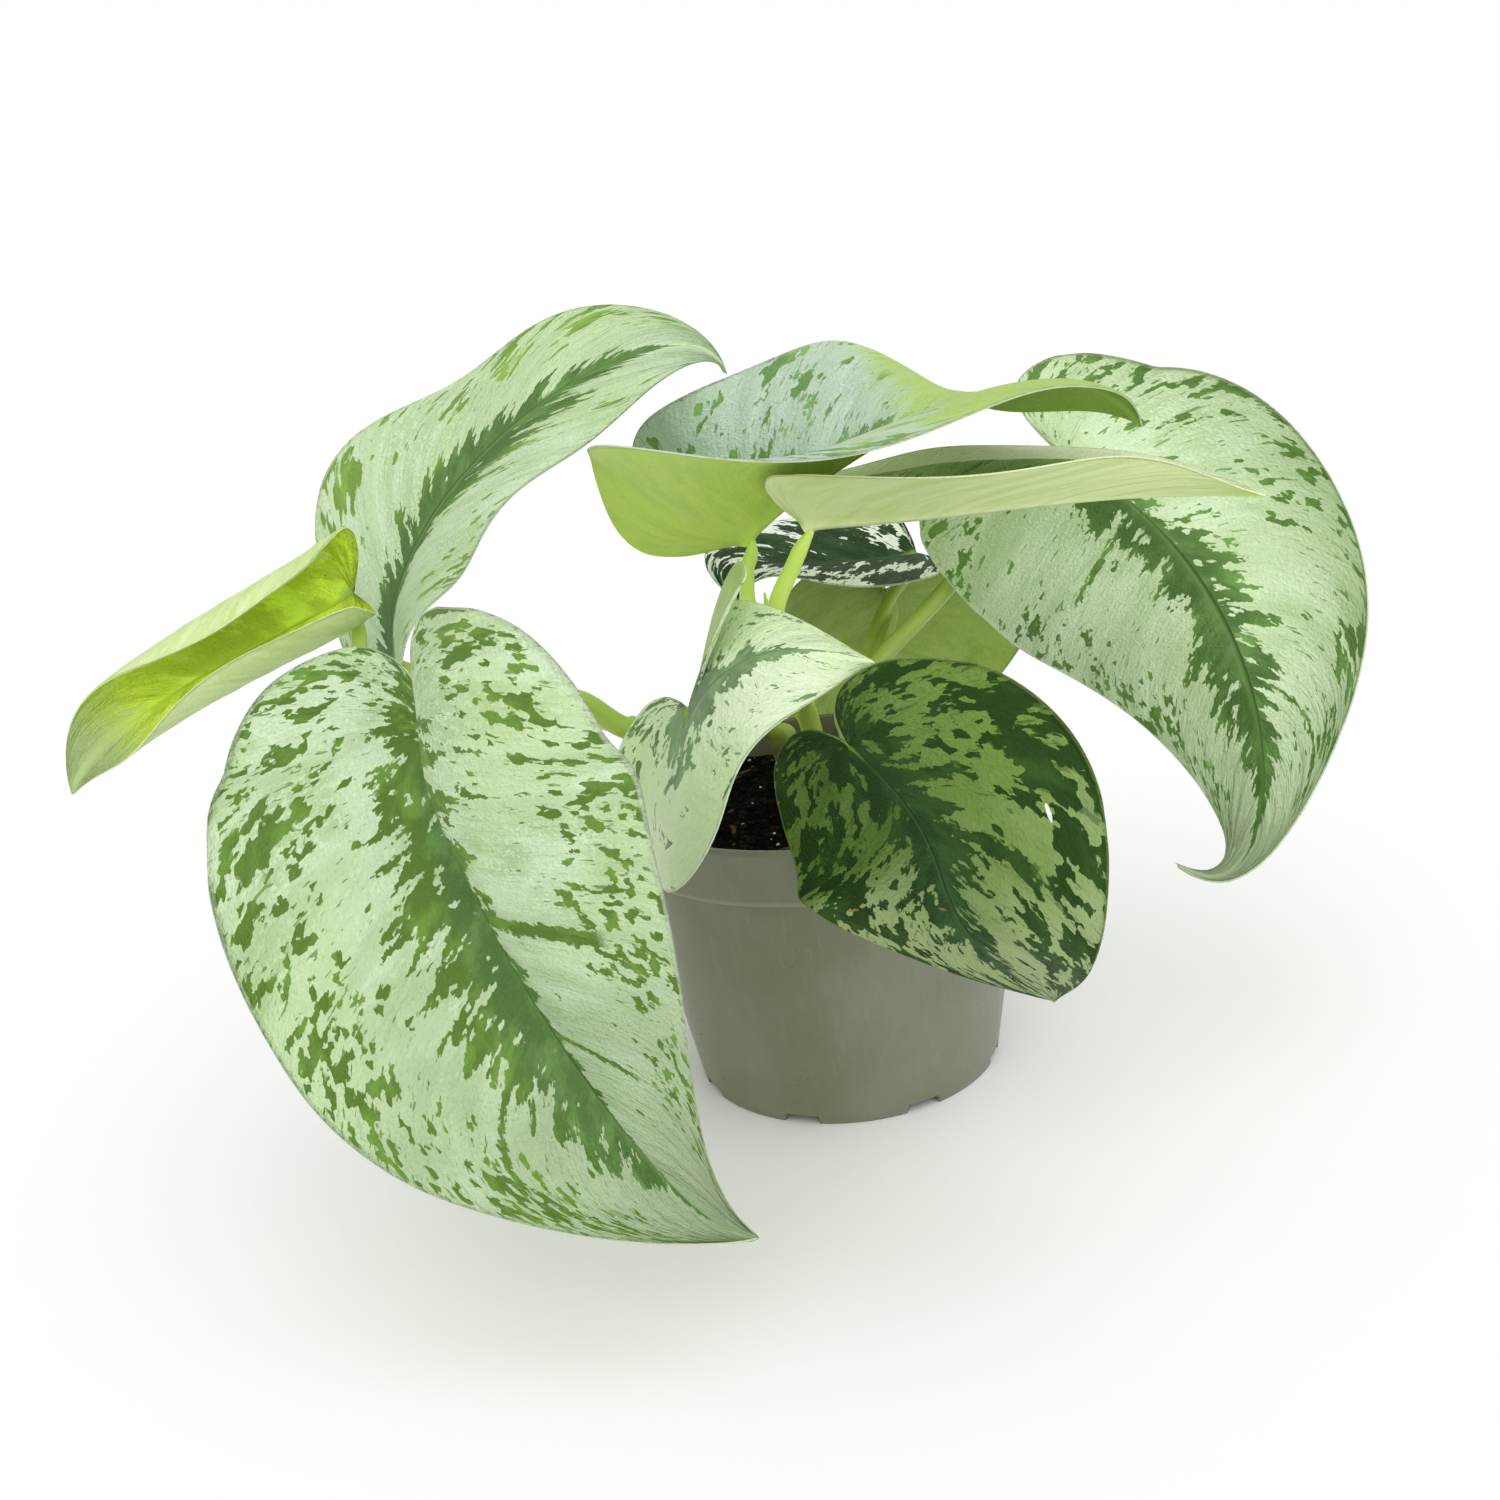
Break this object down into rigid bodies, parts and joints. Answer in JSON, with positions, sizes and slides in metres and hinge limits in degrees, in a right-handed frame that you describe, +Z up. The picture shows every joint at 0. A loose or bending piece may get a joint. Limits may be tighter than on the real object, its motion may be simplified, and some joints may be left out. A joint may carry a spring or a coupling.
{
  "type": "satin pothos in a nursery pot",
  "caption": "Young satin pothos with heart-shaped silver-marked leaves on arching stems, growing in soil in a round plastic nursery pot that stands on a flat floor.",
  "frame": {"origin": "on the floor under the middle of the pot, whose axis is the row's Z axis", "axes": "+Z is up, -Y is the plant's front as pictured, and +X is the viewer's right"},
  "size_m": [0.3145, 0.2155, 0.2036],
  "materials": {
    "leaf_pale": "satin leaf, pale silvery green with dark green marks",
    "leaf_dark": "satin leaf, dark green with mid green and silver patches",
    "stem_green": "smooth fleshy yellow-green stem",
    "soil": "crumbly dark peat",
    "pot_plastic": "satin grey-green recycled plastic"
  },
  "bodies": {
    "root": {"leaf_front_left": "leaf_pale", "leaf_back_left": "leaf_pale", "leaf_rolled_left": "leaf_pale", "leaf_centre_top": "leaf_pale", "leaf_half_rolled": "leaf_pale", "leaf_right": "leaf_pale", "leaf_twisted": "leaf_pale", "leaf_front_dark": "leaf_dark", "leaf_back_dark": "leaf_dark", "leaf_back_hanging": "leaf_pale", "stem_left": "stem_green", "stem_centre": "stem_green", "stem_right": "stem_green", "soil": "soil", "pot": "pot_plastic"}
  },
  "joints": []
}
